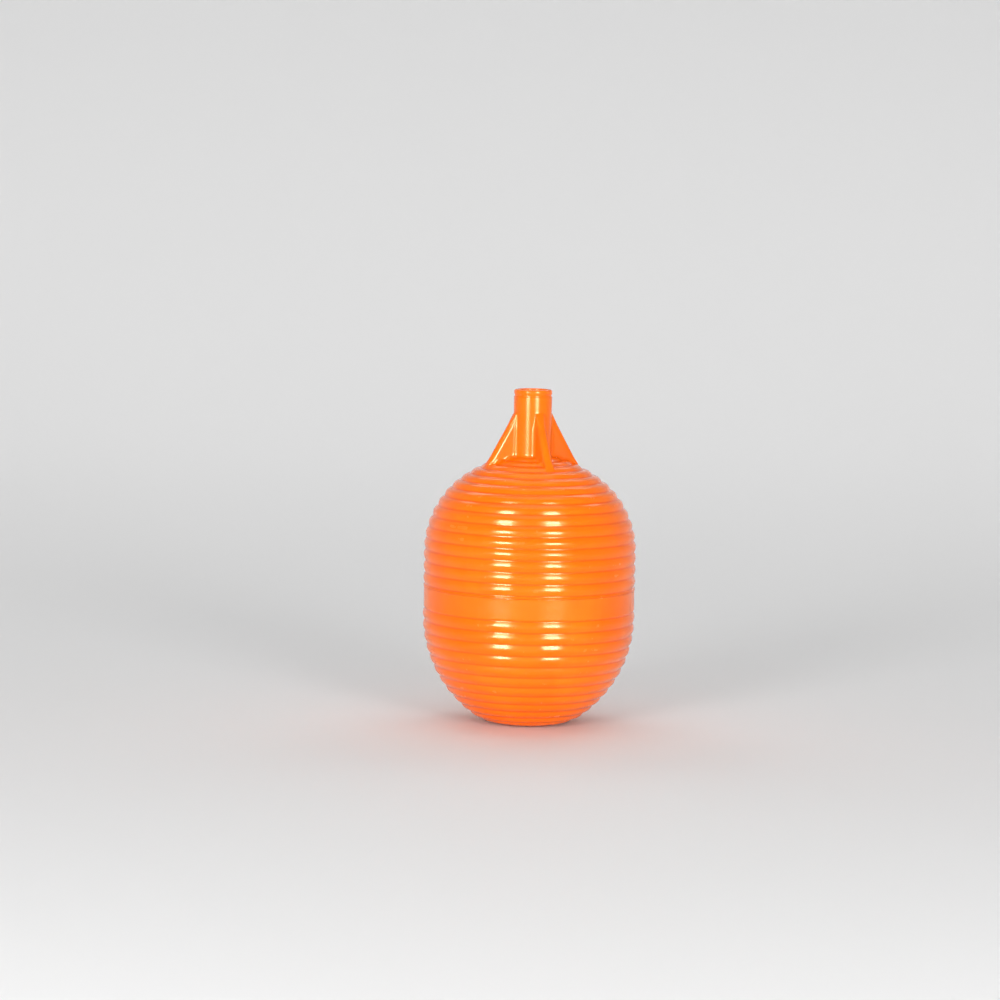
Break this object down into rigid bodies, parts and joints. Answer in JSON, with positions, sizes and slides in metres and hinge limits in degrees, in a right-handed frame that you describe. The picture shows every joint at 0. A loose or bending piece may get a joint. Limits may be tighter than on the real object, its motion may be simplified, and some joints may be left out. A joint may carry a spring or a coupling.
{
  "type": "float bulb",
  "caption": "Hollow ribbed plastic float bulb with a blunt neck, bracing webs and a threaded brass socket for a float valve's arm.",
  "frame": {"origin": "middle of the flat foot under the body", "axes": "+Z along the bulb's axis, from the foot up through the neck; +X and +Y each lie in the plane of a pair of the neck's webs"},
  "size_m": [0.08, 0.08, 0.126],
  "materials": {
    "orange_plastic": "glossy moulded plastic",
    "insert_brass": "machined"
  },
  "bodies": {
    "root": {"upper_shell": "orange_plastic", "lower_shell": "orange_plastic", "threaded_insert": "insert_brass"}
  },
  "joints": []
}
